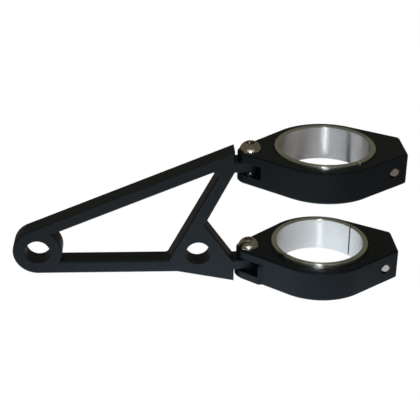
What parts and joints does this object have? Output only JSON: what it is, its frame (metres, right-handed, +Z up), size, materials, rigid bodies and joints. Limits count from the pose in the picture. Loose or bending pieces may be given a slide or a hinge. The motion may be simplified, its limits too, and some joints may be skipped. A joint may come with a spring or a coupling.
{
  "type": "headlight mounting bracket",
  "caption": "Fork-mounted headlight bracket: a flat triangulated arm with lamp holes that swivels on two split fork clamps with reducer sleeves.",
  "frame": {"origin": "on the fork tube's axis, at mid-height of the lower clamp", "axes": "+Z up along the fork tube, -X along the arm towards the lamp holes, +Y across the arm, away from the camera"},
  "size_m": [0.1893, 0.0576, 0.0735],
  "materials": {
    "black_anodised": "satin black anodised, milled",
    "turned_aluminium": "bare, fine turned",
    "stainless": "bright stainless steel"
  },
  "bodies": {
    "lower_clamp": {"lower_clamp": "black_anodised", "lower_sleeve": "turned_aluminium", "lower_pivot_screw": "stainless", "lower_clamp_screw": "stainless"},
    "arm": {"bracket_arm": "black_anodised"},
    "upper_clamp": {"upper_clamp": "black_anodised", "upper_sleeve": "turned_aluminium", "upper_pivot_screw": "stainless", "upper_clamp_screw": "stainless"}
  },
  "joints": [
    {"name": "lower_swivel", "type": "hinge", "parent": "lower_clamp", "child": "arm", "pos_m": [-0.0355, 0, 0], "axis": [0, 0, 1], "range_deg": [-50, 50]},
    {"name": "upper_swivel", "type": "hinge", "parent": "arm", "child": "upper_clamp", "pos_m": [-0.0355, 0, 0.0526], "axis": [0, 0, 1], "range_deg": [-50, 50]}
  ]
}
